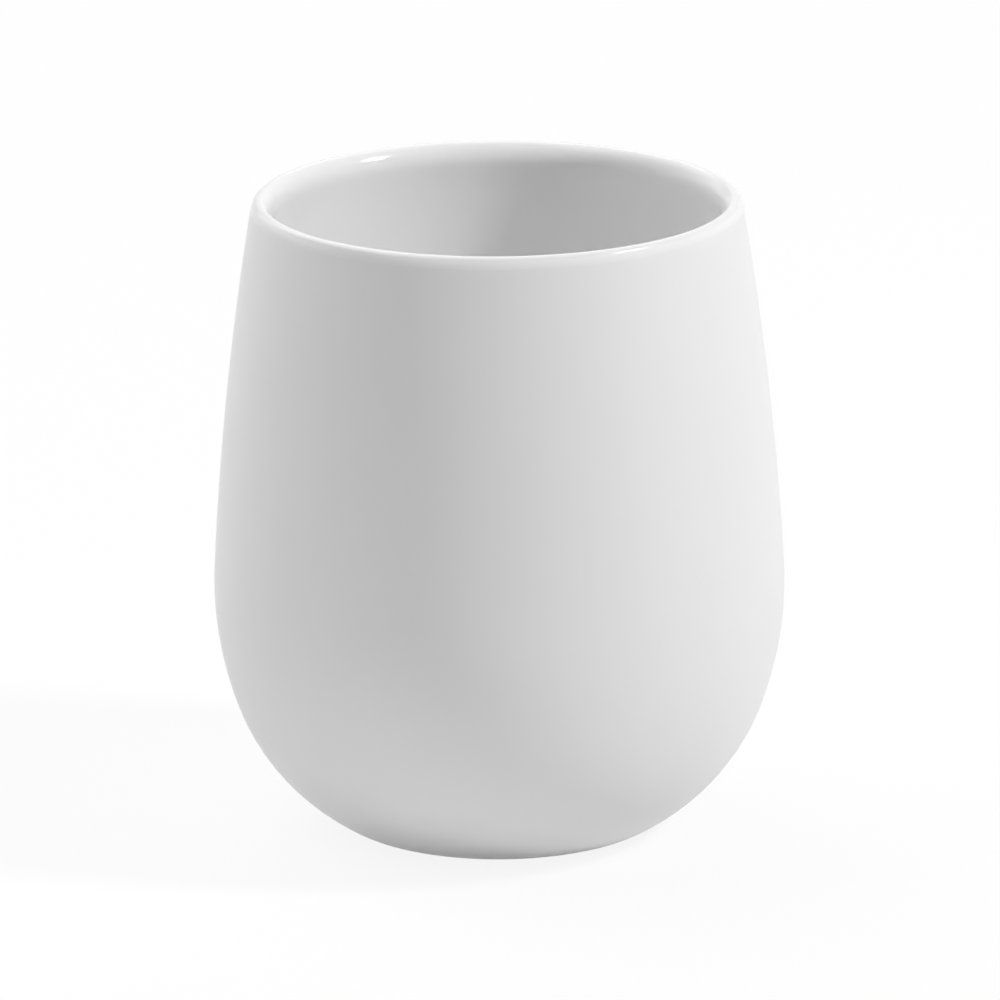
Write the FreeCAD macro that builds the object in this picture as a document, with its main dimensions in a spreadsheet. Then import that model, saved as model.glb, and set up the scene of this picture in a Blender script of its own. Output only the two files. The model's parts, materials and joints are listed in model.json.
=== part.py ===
# A bathroom tumbler: a slip-cast stoneware pot with a gloss glaze inside, a satin glaze outside
# and a soft pad stuck into the recess of its foot.
# Lengths are in millimetres. The tumbler stands on the plane z = 0, with its axis on z.
import FreeCAD, Part
import collections
import math
import os

import Sketcher

SIZES = {
    # Outside of the glazed pot
    "overall_height": 93.2,
    "belly_diameter": 83.0,
    "belly_height": 36.0,
    "belly_curve_radius": 52.0,
    # The belly's curve runs this far above the widest circle, and down to the heel
    "belly_rise": 3.0,
    "heel_height": 18.3,
    # Circle of the glazed lip's crest, its tight round, and the gentler curves that ease it into the
    # outside and the inside, after the round has turned through these shares of a right angle
    "lip_diameter": 68.4,
    "crest_round": 1.0,
    "outer_ease_radius": 3.2,
    "outer_turn_share": 0.66,
    "inner_ease_radius": 3.5,
    "inner_turn_share": 0.45,
    # Bare stoneware
    "wall_thickness": 3.4,
    "base_thickness": 4.0,
    # Curve that rolls the bare heel under to the flat foot ring, and its turn as a share of a right angle
    "heel_roll_radius": 5.8,
    "heel_turn_share": 0.337,
    "foot_ring_width": 3.0,
    "foot_rounding": 0.6,
    "recess_rounding": 0.4,
    # Most of the recess wall that one of its roundings takes
    "rounding_share": 0.45,
    # Glazes, and the share of the heel's roll that is wiped bare from the foot ring on
    "inner_glaze_thickness": 0.25,
    "outer_glaze_thickness": 0.25,
    "wiped_share": 0.61,
    # Pad in the foot's recess, standing out below the foot ring
    "pad_thickness": 2.0,
    "pad_clearance": 0.5,
    "pad_standout": 0.5,
    "pad_edge_rounding": 0.4,
    # Film that holds the pad
    "adhesive_thickness": 0.2,
    "adhesive_inset": 0.6,
}

# Depths below the outside of the glazed pot
GLAZED_OUTSIDE = "0"
BARE_OUTSIDE = "Sizes.outer_glaze_thickness"
BARE_INSIDE = f"{BARE_OUTSIDE} + Sizes.wall_thickness"
GLAZED_INSIDE = f"{BARE_INSIDE} + Sizes.inner_glaze_thickness"

# Levels above the surface that the tumbler stands on
STANDING_LEVEL = "0"
FOOT_LEVEL = "Sizes.pad_standout"
RECESS_LEVEL = "Sizes.pad_thickness + Sizes.adhesive_thickness"
BARE_FLOOR_LEVEL = f"{RECESS_LEVEL} + Sizes.base_thickness"
GLAZED_FLOOR_LEVEL = f"{BARE_FLOOR_LEVEL} + Sizes.inner_glaze_thickness"
CREST_LEVEL = "Sizes.overall_height - Sizes.crest_round"
ROLL_LEVEL = f"{FOOT_LEVEL} + Sizes.heel_roll_radius"

# Roundings of the foot, limited by the recess wall that they share
RECESS_DEPTH = f"({RECESS_LEVEL} - {FOOT_LEVEL})"
FOOT_ROUNDING = f"min(Sizes.foot_rounding; Sizes.rounding_share * {RECESS_DEPTH})"
RECESS_ROUNDING = f"min(Sizes.recess_rounding; Sizes.rounding_share * {RECESS_DEPTH})"

# Turns of the heel's roll, and of its wiped share
HEEL_TURN = "Sizes.heel_turn_share * 90 deg"
WIPED_TURN = f"Sizes.wiped_share * {HEEL_TURN}"

# Curve of the bare belly, how much of it faces down and out at the heel, and the heel's curve,
# which falls from there to the roll
BARE_CURVE = "(Sizes.belly_curve_radius - Sizes.outer_glaze_thickness)"
BELLY_SINK = "((Sizes.belly_height - Sizes.heel_height) / Sizes.belly_curve_radius)"
BELLY_FACE = f"sqrt(1 - {BELLY_SINK} ^ 2)"
HEEL_FALL = (f"(Sizes.belly_height - {BARE_CURVE} * {BELLY_SINK} - {FOOT_LEVEL}"
             f" - Sizes.heel_roll_radius * (1 - cos({HEEL_TURN})))")
HEEL_CURVE = f"({HEEL_FALL} / (cos({HEEL_TURN}) - {BELLY_SINK}))"

# Radii about the axis
BELLY_CENTRE_RADIUS = "Sizes.belly_diameter / 2 - Sizes.belly_curve_radius"
FOOT_RADIUS = (f"({BELLY_CENTRE_RADIUS} + {BARE_CURVE} * {BELLY_FACE}"
               f" - Sizes.heel_roll_radius * sin({HEEL_TURN})"
               f" - {HEEL_CURVE} * ({BELLY_FACE} - sin({HEEL_TURN})))")
RECESS_RADIUS = f"{FOOT_RADIUS} - Sizes.foot_ring_width"
PAD_RADIUS = f"{RECESS_RADIUS} - Sizes.pad_clearance"
ADHESIVE_RADIUS = f"{PAD_RADIUS} - Sizes.adhesive_inset"
CREST_RADIUS = "Sizes.lip_diameter / 2"

# Depths below the glazed lip
GLAZED_LIP = "0"
BARE_LIP = "Sizes.inner_glaze_thickness"

# Turns of the crest's round, and the outer ease's own radius and centre
OUTER_TURN = "Sizes.outer_turn_share * 90 deg"
INNER_TURN = "Sizes.inner_turn_share * 90 deg"
OUTER_DROP = "(Sizes.outer_ease_radius - Sizes.crest_round)"
OUTER_EASE_RADIUS = f"{CREST_RADIUS} - {OUTER_DROP} * sin({OUTER_TURN})"
OUTER_EASE_LEVEL = f"{CREST_LEVEL} - {OUTER_DROP} * cos({OUTER_TURN})"
BARE_OUTER_EASE = f"Sizes.outer_ease_radius - {BARE_LIP}"

# Heights of the belly curve's two ends above the widest circle
BELLY_TOP = "Sizes.belly_rise"
BELLY_BOTTOM = "Sizes.heel_height - Sizes.belly_height"

# How a sketch numbers an edge's points, and its own two axes, of which the level one starts at its origin
START, END, CENTRE = range(1, 4)
UPRIGHT_AXIS, LEVEL_AXIS = range(-2, 0)

# Two edges closer than this are the same edge
EDGE_MATCH = 0.001

Edge = collections.namedtuple("Edge", "number first last")
Vector = FreeCAD.Vector

doc = FreeCAD.newDocument("bathroom_tumbler")
sheet = doc.addObject("Spreadsheet::Sheet", "Sizes")
for row, (alias, size) in enumerate(SIZES.items(), start=1):
    sheet.set(f"A{row}", alias)
    sheet.set(f"B{row}", str(size))
    sheet.setAlias(f"B{row}", alias)
doc.recompute()


def value(formula):
    """The number that a formula of the sheet's sizes gives."""
    return float(sheet.evalExpression(formula))


class Section:
    """Half of a turned piece's section: x is the radius about the axis and y is the height."""

    def __init__(self, body):
        self.sketch = sketch_on(body, "XZ_Plane")

    def line(self, first, last):
        """Adds a straight edge."""
        return Edge(self.sketch.addGeometry(Part.LineSegment(first, last), False), START, END)

    def arc(self, centre, first, last, anticlockwise=True, guide=False):
        """Adds a round edge, and says which of its points is its first and which its last."""
        start, end = (first, last) if anticlockwise else (last, first)
        start_angle = math.atan2(start.y - centre.y, start.x - centre.x)
        end_angle = math.atan2(end.y - centre.y, end.x - centre.x)
        if end_angle < start_angle:
            end_angle += 2 * math.pi
        circle = Part.Circle(centre, Vector(0, 0, 1), centre.distanceToPoint(start))
        number = self.sketch.addGeometry(Part.ArcOfCircle(circle, start_angle, end_angle), guide)
        return Edge(number, START, END) if anticlockwise else Edge(number, END, START)

    def size(self, kind, *where, formula):
        """Adds a dimension that follows a formula of the sheet's sizes."""
        number = self.sketch.addConstraint(Sketcher.Constraint(kind, *where, value(formula)))
        self.sketch.setExpression(f"Constraints[{number}]", formula)

    def place(self, number, point, radius, level):
        """Sets one point's distance from the axis and its height."""
        self.size("DistanceX", number, point, formula=radius)
        self.size("DistanceY", number, point, formula=level)

    def relate(self, kind, *where):
        """Adds a relation that has no size, such as tangent or horizontal."""
        self.sketch.addConstraint(Sketcher.Constraint(kind, *where))

    def tangent(self, lower, upper):
        """Runs the last point of one edge smoothly into the first point of the next."""
        self.relate("Tangent", lower.number, lower.last, upper.number, upper.first)

    def turned(self):
        """Turns the section about the axis into the body's solid."""
        body = self.sketch.getParentGeoFeatureGroup()
        turning = body.newObject("PartDesign::Revolution", f"{body.Name}_turning")
        turning.Profile = self.sketch
        turning.ReferenceAxis = (self.sketch, ["V_Axis"])
        turning.Angle = 360
        doc.recompute()
        return turning


def new_body(label):
    """An empty body that one sub-part is made in."""
    body = doc.addObject("PartDesign::Body", label)
    body.Label = label
    return body


def sketch_on(body, role):
    """An empty sketch on one of the body's own origin planes."""
    plane = next(feature for feature in body.Origin.OriginFeatures if feature.Role == role)
    sketch = body.newObject("Sketcher::SketchObject", f"{body.Name}_sketch")
    sketch.AttachmentSupport = (plane, [""])
    sketch.MapMode = "FlatFace"
    return sketch


def rounded_edges(body, base, name, radius_formula, rings):
    """Rounds the ring-shaped edges that lie at the given radii and levels."""
    edges = []
    for number, edge in enumerate(base.Shape.Edges, start=1):
        for radius, level in rings:
            if not isinstance(edge.Curve, Part.Circle):
                continue
            if abs(edge.Curve.Radius - value(radius)) > EDGE_MATCH:
                continue
            if abs(edge.Curve.Center.z - value(level)) < EDGE_MATCH:
                edges.append(f"Edge{number}")
    rounding = body.newObject("PartDesign::Fillet", f"{body.Name}_{name}")
    rounding.Base = (base, edges)
    rounding.setExpression("Radius", radius_formula)
    doc.recompute()
    return rounding


def belly_centre():
    """Centre of the belly's curve, which every depth shares."""
    return Vector(value(BELLY_CENTRE_RADIUS), value("Sizes.belly_height"), 0)


def belly_normal(end):
    """Direction that the belly faces at one end of its curve."""
    curve_radius = value("Sizes.belly_curve_radius")
    rise = value(end) / curve_radius
    return Vector(math.sqrt(1 - rise**2), rise, 0)


def belly_point(depth, end):
    """One end of the belly's curve at a depth below the glazed outside."""
    return belly_centre() + belly_normal(end) * (value("Sizes.belly_curve_radius") - value(depth))


def crest_centre():
    """Centre of the crest's round."""
    return Vector(value(CREST_RADIUS), value(CREST_LEVEL), 0)


def crest_facing(inwards):
    """Direction that the crest's round faces at its inner or its outer end."""
    if inwards:
        return Vector(-value(f"sin({INNER_TURN})"), value(f"cos({INNER_TURN})"), 0)
    return Vector(value(f"sin({OUTER_TURN})"), value(f"cos({OUTER_TURN})"), 0)


def ease_centre(inwards):
    """Centre of the curve that eases the crest into the inside or the outside."""
    radius = value("Sizes.inner_ease_radius" if inwards else "Sizes.outer_ease_radius")
    return crest_centre() - crest_facing(inwards) * (radius - value("Sizes.crest_round"))


def roll_centre():
    """Centre of the curve that rolls the heel under to the foot ring."""
    return Vector(value(FOOT_RADIUS), value(ROLL_LEVEL), 0)


def touching(start, normal, circle_centre, reach):
    """Centre, signed radius and end of the arc from a point, square to a normal, that runs into a circle.

    The reach is the circle's radius, below zero where the arc passes the circle on its far side.
    """
    offset = start - circle_centre
    radius = (offset.dot(offset) - reach**2) / (2 * (offset.dot(normal) - reach))
    centre = start - normal * radius
    end = centre + (circle_centre - centre) * (radius / (radius - reach))
    return centre, radius, end


def bare_side():
    """Centre, signed radius and top of the bare side's curve, from the belly to the lip's outer ease."""
    start = belly_point(BARE_OUTSIDE, BELLY_TOP)
    return touching(start, belly_normal(BELLY_TOP), ease_centre(False), value(BARE_OUTER_EASE))


def inner_side(depth, lip_depth):
    """Centre, signed radius and top of the inside's curve, from the belly to the lip's inner ease."""
    reach = -value(f"Sizes.inner_ease_radius - ({lip_depth})")
    return touching(belly_point(depth, BELLY_TOP), belly_normal(BELLY_TOP), ease_centre(True), reach)


def bare_heel():
    """Centre, signed radius and end of the bare heel's curve, from the belly to the roll."""
    start = belly_point(BARE_OUTSIDE, BELLY_BOTTOM)
    return touching(start, belly_normal(BELLY_BOTTOM), roll_centre(), value("Sizes.heel_roll_radius"))


def heel_to_floor(depth, floor_level):
    """Centre of the inner heel's curve, from the belly to the flat floor."""
    start = belly_point(depth, BELLY_BOTTOM)
    normal = belly_normal(BELLY_BOTTOM)
    radius = (start.y - value(floor_level)) / (1 + normal.y)
    return start - normal * radius


def farther(centre, point, distance):
    """Point that lies beyond another one, seen from a centre."""
    return point + (point - centre).normalize() * distance


def draw_belly(section, depth, guide=False):
    """Belly's curve at a depth below the glazed outside."""
    bottom = belly_point(depth, BELLY_BOTTOM)
    top = belly_point(depth, BELLY_TOP)
    belly = section.arc(belly_centre(), bottom, top, guide=guide)
    inset_share = f"(1 - ({depth}) / Sizes.belly_curve_radius)"
    section.place(belly.number, CENTRE, BELLY_CENTRE_RADIUS, "Sizes.belly_height")
    section.size("Radius", belly.number, formula=f"Sizes.belly_curve_radius - ({depth})")
    section.size("DistanceY", belly.number, CENTRE, belly.number, belly.last,
                 formula=f"({BELLY_TOP}) * {inset_share}")
    section.size("DistanceY", belly.number, CENTRE, belly.number, belly.first,
                 formula=f"({BELLY_BOTTOM}) * {inset_share}")
    return belly


def draw_lip(section, lip_depth, first, last):
    """Lip at a depth below its glaze, from the outer ease over the crest's round to the inner ease."""
    crest_round = f"(Sizes.crest_round - ({lip_depth}))"
    outer_joint = crest_centre() + crest_facing(False) * value(crest_round)
    inner_joint = crest_centre() + crest_facing(True) * value(crest_round)
    outer = section.arc(ease_centre(False), first, outer_joint)
    crest = section.arc(crest_centre(), outer_joint, inner_joint)
    inner = section.arc(ease_centre(True), inner_joint, last)
    section.place(crest.number, CENTRE, CREST_RADIUS, CREST_LEVEL)
    section.size("Radius", crest.number, formula=crest_round)
    section.size("DistanceX", crest.number, CENTRE, crest.number, crest.first,
                 formula=f"{crest_round} * sin({OUTER_TURN})")
    section.size("DistanceX", crest.number, crest.last, crest.number, CENTRE,
                 formula=f"{crest_round} * sin({INNER_TURN})")
    section.tangent(outer, crest)
    section.tangent(crest, inner)
    section.size("Radius", outer.number, formula=f"Sizes.outer_ease_radius - ({lip_depth})")
    section.size("Radius", inner.number, formula=f"Sizes.inner_ease_radius - ({lip_depth})")
    return outer, inner


def draw_bare_side(section, belly, guide=False):
    """Outside of the bare pot between its belly and its lip."""
    centre, radius, top = bare_side()
    side = section.arc(centre, belly_point(BARE_OUTSIDE, BELLY_TOP), top, radius > 0, guide)
    section.tangent(belly, side)
    return side


def draw_inside(section, depth, lip_end, lip_depth, floor_level):
    """Side, belly, heel and floor of the pot's inside, running down from the lip to the axis."""
    side_centre, side_radius, side_top = inner_side(depth, lip_depth)
    heel_centre = heel_to_floor(depth, floor_level)
    floor_edge = Vector(heel_centre.x, value(floor_level), 0)
    belly = draw_belly(section, depth)
    side = section.arc(side_centre, belly_point(depth, BELLY_TOP), side_top, side_radius > 0)
    heel = section.arc(heel_centre, floor_edge, belly_point(depth, BELLY_BOTTOM))
    floor = section.line(Vector(0, floor_edge.y, 0), floor_edge)
    section.tangent(belly, side)
    section.relate("Tangent", side.number, side.last, lip_end.number, lip_end.last)
    section.tangent(heel, belly)
    section.tangent(floor, heel)
    section.relate("Horizontal", floor.number)
    section.relate("PointOnObject", floor.number, floor.first, UPRIGHT_AXIS)
    section.size("DistanceY", floor.number, floor.first, formula=floor_level)
    return floor


def draw_bare_pot(section, guide=False):
    """Bare side, lip and inside, which the pot and its lining share."""
    belly = draw_belly(section, BARE_OUTSIDE, guide)
    side = draw_bare_side(section, belly, guide)
    inside_top = inner_side(BARE_INSIDE, BARE_LIP)[2]
    outer, inner = draw_lip(section, BARE_LIP, bare_side()[2], inside_top)
    section.tangent(side, outer)
    floor = draw_inside(section, BARE_INSIDE, inner, BARE_LIP, BARE_FLOOR_LEVEL)
    return belly, outer, floor


def make_stoneware_body():
    """The fired pot: wall, lip, foot ring and the recess inside the ring."""
    body = new_body("stoneware_body")
    section = Section(body)
    belly, _, floor = draw_bare_pot(section)

    foot_edge = Vector(value(FOOT_RADIUS), value(FOOT_LEVEL), 0)
    recess_edge = Vector(value(RECESS_RADIUS), value(FOOT_LEVEL), 0)
    recess_corner = Vector(value(RECESS_RADIUS), value(RECESS_LEVEL), 0)
    recess_middle = Vector(0, value(RECESS_LEVEL), 0)
    heel_centre, heel_radius, heel_end = bare_heel()
    heel = section.arc(heel_centre, heel_end, belly_point(BARE_OUTSIDE, BELLY_BOTTOM), heel_radius > 0)
    roll = section.arc(roll_centre(), foot_edge, heel_end)
    ring = section.line(recess_edge, foot_edge)
    section.tangent(heel, belly)
    section.tangent(roll, heel)
    section.tangent(ring, roll)
    section.size("Radius", roll.number, formula="Sizes.heel_roll_radius")
    section.place(ring.number, ring.last, FOOT_RADIUS, FOOT_LEVEL)

    wall = section.line(recess_corner, recess_edge)
    ceiling = section.line(recess_middle, recess_corner)
    axis = section.line(Vector(0, value(BARE_FLOOR_LEVEL), 0), recess_middle)
    for lower, upper in ((wall, ring), (ceiling, wall), (axis, ceiling)):
        section.relate("Coincident", lower.number, lower.last, upper.number, upper.first)
    section.relate("Coincident", axis.number, axis.first, floor.number, floor.first)
    section.relate("Horizontal", ring.number)
    section.relate("Vertical", wall.number)
    section.relate("Horizontal", ceiling.number)
    section.relate("PointOnObject", ceiling.number, ceiling.first, UPRIGHT_AXIS)
    section.place(wall.number, wall.first, RECESS_RADIUS, RECESS_LEVEL)

    turning = section.turned()
    foot = rounded_edges(body, turning, "foot_rounding", FOOT_ROUNDING, ((RECESS_RADIUS, FOOT_LEVEL),))
    rounded_edges(body, foot, "recess_rounding", RECESS_ROUNDING, ((RECESS_RADIUS, RECESS_LEVEL),))
    return body


def make_inner_gloss_glaze():
    """The gloss lining, from the glaze line under the lip, over the lip and down to the floor."""
    body = new_body("inner_gloss_glaze")
    section = Section(body)
    _, bare_outer, bare_floor = draw_bare_pot(section, guide=True)

    under_edge = bare_side()[2]
    glaze_edge = farther(ease_centre(False), under_edge, value("Sizes.inner_glaze_thickness"))
    glazed_top = inner_side(GLAZED_INSIDE, GLAZED_LIP)[2]
    outer, inner = draw_lip(section, GLAZED_LIP, glaze_edge, glazed_top)
    floor = draw_inside(section, GLAZED_INSIDE, inner, GLAZED_LIP, GLAZED_FLOOR_LEVEL)

    glaze_line = section.line(under_edge, glaze_edge)
    axis = section.line(Vector(0, value(BARE_FLOOR_LEVEL), 0), Vector(0, value(GLAZED_FLOOR_LEVEL), 0))
    section.relate("Coincident", glaze_line.number, glaze_line.first, bare_outer.number, bare_outer.first)
    section.relate("Coincident", glaze_line.number, glaze_line.last, outer.number, outer.first)
    section.relate("PointOnObject", outer.number, CENTRE, glaze_line.number)
    section.relate("Coincident", axis.number, axis.first, bare_floor.number, bare_floor.first)
    section.relate("Coincident", axis.number, axis.last, floor.number, floor.first)
    section.turned()
    return body


def make_outer_satin_glaze():
    """The satin skin, from the gloss glaze's line under the lip down to the wiped band at the foot."""
    body = new_body("outer_satin_glaze")
    section = Section(body)
    thickness = value("Sizes.outer_glaze_thickness")
    side_centre, side_radius, side_top = bare_side()
    heel_centre, heel_radius, heel_end = bare_heel()
    wiped_facing = Vector(value(f"sin({WIPED_TURN})"), -value(f"cos({WIPED_TURN})"), 0)
    bare_edge = roll_centre() + wiped_facing * value("Sizes.heel_roll_radius")

    bare_belly = draw_belly(section, BARE_OUTSIDE)
    bare_wall = draw_bare_side(section, bare_belly)
    ease_circle = Part.Circle(ease_centre(False), Vector(0, 0, 1), value(BARE_OUTER_EASE))
    ease_guide = section.sketch.addGeometry(ease_circle, True)
    section.place(ease_guide, CENTRE, OUTER_EASE_RADIUS, OUTER_EASE_LEVEL)
    section.size("Radius", ease_guide, formula=BARE_OUTER_EASE)
    section.relate("Tangent", bare_wall.number, bare_wall.last, ease_guide)
    bare_bottom = belly_point(BARE_OUTSIDE, BELLY_BOTTOM)
    bare_lower = section.arc(heel_centre, heel_end, bare_bottom, heel_radius > 0)
    bare_roll = section.arc(roll_centre(), bare_edge, heel_end)
    section.tangent(bare_lower, bare_belly)
    section.tangent(bare_roll, bare_lower)
    section.place(bare_roll.number, CENTRE, FOOT_RADIUS, ROLL_LEVEL)
    section.size("Radius", bare_roll.number, formula="Sizes.heel_roll_radius")
    section.size("DistanceX", bare_roll.number, CENTRE, bare_roll.number, bare_roll.first,
                 formula=f"Sizes.heel_roll_radius * sin({WIPED_TURN})")

    belly = draw_belly(section, GLAZED_OUTSIDE)
    glaze_edge = farther(ease_centre(False), side_top, thickness)
    wiped_edge = farther(roll_centre(), bare_edge, thickness)
    glazed_end = farther(roll_centre(), heel_end, thickness)
    wall = section.arc(side_centre, belly_point(GLAZED_OUTSIDE, BELLY_TOP), glaze_edge, side_radius > 0)
    lower = section.arc(heel_centre, glazed_end, belly_point(GLAZED_OUTSIDE, BELLY_BOTTOM), heel_radius > 0)
    roll = section.arc(roll_centre(), wiped_edge, glazed_end)
    section.relate("Coincident", wall.number, CENTRE, bare_wall.number, CENTRE)
    section.relate("Coincident", wall.number, wall.first, belly.number, belly.last)
    section.relate("Coincident", lower.number, CENTRE, bare_lower.number, CENTRE)
    section.relate("Coincident", lower.number, lower.last, belly.number, belly.first)
    section.relate("Coincident", roll.number, CENTRE, bare_roll.number, CENTRE)
    section.tangent(roll, lower)

    glaze_line = section.line(side_top, glaze_edge)
    wiped_line = section.line(bare_edge, wiped_edge)
    section.relate("Coincident", glaze_line.number, glaze_line.first, bare_wall.number, bare_wall.last)
    section.relate("Coincident", glaze_line.number, glaze_line.last, wall.number, wall.last)
    section.relate("PointOnObject", ease_guide, CENTRE, glaze_line.number)
    section.relate("Coincident", wiped_line.number, wiped_line.first, bare_roll.number, bare_roll.first)
    section.relate("Coincident", wiped_line.number, wiped_line.last, roll.number, roll.first)
    section.relate("PointOnObject", bare_roll.number, CENTRE, wiped_line.number)
    section.turned()
    return body


def make_disc(label, radius, thickness):
    """A flat disc on the axis, standing on its own body's origin."""
    body = new_body(label)
    outline = sketch_on(body, "XY_Plane")
    circle = outline.addGeometry(Part.Circle(Vector(0, 0, 0), Vector(0, 0, 1), value(radius)), False)
    outline.addConstraint(Sketcher.Constraint("Coincident", circle, CENTRE, LEVEL_AXIS, START))
    rim = outline.addConstraint(Sketcher.Constraint("Radius", circle, value(radius)))
    outline.setExpression(f"Constraints[{rim}]", radius)
    disc = body.newObject("PartDesign::Pad", f"{label}_disc")
    disc.Profile = outline
    disc.setExpression("Length", thickness)
    doc.recompute()
    return body, disc


def make_base_pad():
    """The soft disc that the tumbler stands on, with its lower edge rounded."""
    body, disc = make_disc("base_pad", PAD_RADIUS, "Sizes.pad_thickness")
    rounded_edges(body, disc, "edge_rounding", "Sizes.pad_edge_rounding", ((PAD_RADIUS, STANDING_LEVEL),))
    return body


def make_pad_adhesive():
    """The film between the pad and the recess."""
    body, _ = make_disc("pad_adhesive", ADHESIVE_RADIUS, "Sizes.adhesive_thickness")
    body.setExpression("Placement.Base.z", "Sizes.pad_thickness")
    return body


pieces = [
    make_stoneware_body(),
    make_inner_gloss_glaze(),
    make_outer_satin_glaze(),
    make_base_pad(),
    make_pad_adhesive(),
]
doc.recompute()

for item in doc.Objects:
    if "Invalid" in item.State or "Error" in item.State:
        raise RuntimeError(f"{item.Label} failed: {item.State}")
for piece in pieces:
    if piece.Shape.isNull() or not piece.Shape.isValid():
        raise RuntimeError(f"{piece.Label} has no valid shape")
    if len(piece.Shape.Solids) != 1:
        raise RuntimeError(f"{piece.Label} is not one solid")

os.makedirs("parts", exist_ok=True)
for piece in pieces:
    piece.Shape.exportStep(f"parts/{piece.Label}.step")
    print(f"{piece.Label}: {piece.Shape.Volume:.1f} mm3")
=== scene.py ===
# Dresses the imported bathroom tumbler: its two glazes, the bare foot and the pad under it,
# on a white floor in soft studio light. Lengths are in metres, in the frame's own axes.
import collections
import json
import math

import bpy
from bpy.props import FloatProperty, FloatVectorProperty, IntProperty, PointerProperty
from mathutils import Matrix, Vector


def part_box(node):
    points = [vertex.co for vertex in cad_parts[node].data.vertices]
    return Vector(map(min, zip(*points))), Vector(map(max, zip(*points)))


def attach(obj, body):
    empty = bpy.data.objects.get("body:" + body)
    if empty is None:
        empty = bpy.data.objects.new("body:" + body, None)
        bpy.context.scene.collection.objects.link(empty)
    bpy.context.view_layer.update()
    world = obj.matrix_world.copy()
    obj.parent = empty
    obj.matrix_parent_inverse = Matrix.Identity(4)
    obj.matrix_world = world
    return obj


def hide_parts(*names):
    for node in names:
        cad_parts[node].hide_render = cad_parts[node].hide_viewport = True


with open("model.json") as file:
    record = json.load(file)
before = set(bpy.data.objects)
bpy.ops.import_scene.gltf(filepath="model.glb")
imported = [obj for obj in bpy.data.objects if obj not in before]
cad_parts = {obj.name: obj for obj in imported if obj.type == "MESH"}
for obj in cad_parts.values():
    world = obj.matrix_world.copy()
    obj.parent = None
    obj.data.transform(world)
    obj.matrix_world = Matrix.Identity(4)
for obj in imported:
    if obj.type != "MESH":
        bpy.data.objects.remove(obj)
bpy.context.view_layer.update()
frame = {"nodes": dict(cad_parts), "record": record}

bl_info = {
    "name": "Bathroom Tumbler",
    "version": (1, 0, 0),
    "blender": (4, 5, 0),
    "location": "3D View > Sidebar > Tumbler",
    "description": "Models the glazes, bare pot and pad of a stoneware tumbler on its packed solids",
    "category": "Object",
}

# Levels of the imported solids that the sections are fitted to
FOOT_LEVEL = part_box("stoneware_body")[0].z
WIPED_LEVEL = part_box("outer_satin_glaze")[0].z
BARE_FLOOR_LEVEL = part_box("inner_gloss_glaze")[0].z
PAD_LOW_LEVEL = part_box("base_pad")[0].z
PAD_HIGH_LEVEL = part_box("base_pad")[1].z
RECESS_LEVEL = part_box("pad_adhesive")[1].z

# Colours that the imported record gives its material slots
SLOT_COLOURS = {entry["slot"]: entry["base_color"] for entry in frame["record"]["materials"]}

# An arc of a section has an edge at least every so far, and turns no more than this from edge to edge
ARC_STEP = 0.001
ARC_TURN = math.radians(9)

# Points closer than this are one point
WELD = 0.00002
# Side of the small plane that a section's first point is made from
SEED_SIZE = 0.001
SMOOTH_ANGLE = math.radians(40)
# Strips across the rounding of the glaze's edge and the recess, and of the foot ring and the pad
TIGHT_STRIPS = 4
OPEN_STRIPS = 5

# Below the crest, how far down the gloss glaze stays thin, where it has its full body, and where it has
# run into the satin on the outside
# Where the glaze is thin its colour is darker: partly the thin glaze, partly painted shade that keeps the
# brightly lit crest off white
LIP_THINNED = 0.0001
LIP_SETTLED = 0.0006
LIP_RUN_OUT = 0.0026
# How far inside the crest's circle the gloss glaze has gathered, and how far outside it the run is felt
LIP_GATHERED = 0.0007

# The glazes' clouds and patches of sheen, and how far the clouds shade each glaze's colour
CLOUD_SIZE = 0.024
CLOUD_DETAIL = 3.0
SHEEN_SIZE = 0.008
SATIN_SHADES = (0.985, 1.012)
LINING_SHADES = (1.01, 1.04)
# How strongly the gloss glaze reflects, where the shader's own level is 0.5
GLOSS_SPECULAR = 0.32
# Most of a noise lies between these two values
NOISE_LOW = 0.3
NOISE_HIGH = 0.7

WHITE = (1.0, 1.0, 1.0, 1.0)
FLOOR_COLOUR = (0.95, 0.95, 0.95, 1.0)
FLOOR_SIZE = 6.0

Run = collections.namedtuple("Run", "points centres")
Lamp = collections.namedtuple("Lamp", "azimuth elevation distance size")

# Where the lamps stand: azimuth 0 is at the camera's side and 90 degrees at its right
LAMPS = {
    "key": Lamp(azimuth=76.0, elevation=42.0, distance=1.3, size=0.19),
    "fill": Lamp(azimuth=-120.0, elevation=44.0, distance=1.5, size=2.0),
    "back": Lamp(azimuth=-160.0, elevation=62.0, distance=1.5, size=2.0),
    "front": Lamp(azimuth=0.0, elevation=40.0, distance=1.5, size=2.0),
}


def length_property(label, text, default):
    """A length that a user would change."""
    return FloatProperty(name=label, description=text, default=default, min=0.0, unit="LENGTH", precision=5)


def colour_property(label, text, default):
    """A colour that a user would change."""
    return FloatVectorProperty(
        name=label, description=text, default=default, size=3, min=0.0, max=1.0, subtype="COLOR")


def share_property(label, text, default):
    """A share or a roughness between none and all."""
    return FloatProperty(name=label, description=text, default=default, min=0.0, max=1.0, subtype="FACTOR")


def power_property(label, text, default):
    """A lamp's power."""
    return FloatProperty(name=label, description=text, default=default, min=0.0, unit="POWER")


def angle_property(label, text, degrees):
    """An angle that a user would change."""
    return FloatProperty(name=label, description=text, default=math.radians(degrees), subtype="ANGLE")


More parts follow.
